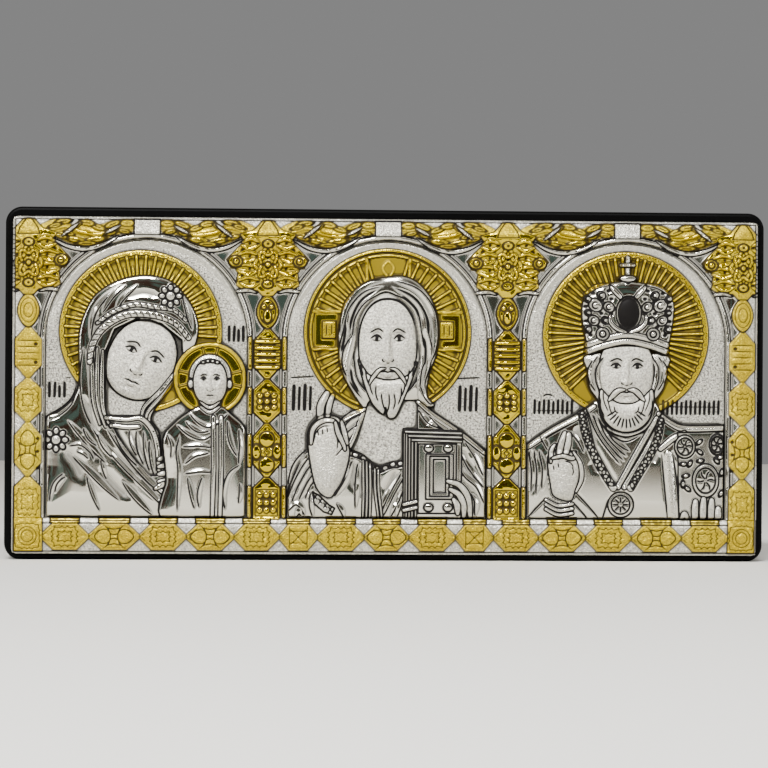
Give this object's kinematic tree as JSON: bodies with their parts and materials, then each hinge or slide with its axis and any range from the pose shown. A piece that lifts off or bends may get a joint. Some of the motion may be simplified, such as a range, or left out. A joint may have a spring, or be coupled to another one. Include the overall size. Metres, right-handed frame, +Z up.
{
  "type": "triptych icon plaque",
  "caption": "Small standing plaque: a pressed silver and gilt plate with arched figure fields and a medallion border, glued to a black board.",
  "frame": {"origin": "middle of the underside of the whole plaque, where it stands", "axes": "+Z up, the picture faces -Y, +X to the viewer's right"},
  "size_m": [0.13, 0.0172, 0.06],
  "materials": {
    "black_lacquer": "black satin lacquer over fibreboard",
    "silver_gilt": "silvered pressed sheet, matt and polished, gilt on borders and halos"
  },
  "bodies": {
    "root": {"backing_board": "black_lacquer", "embossed_plate": "silver_gilt"}
  },
  "joints": []
}
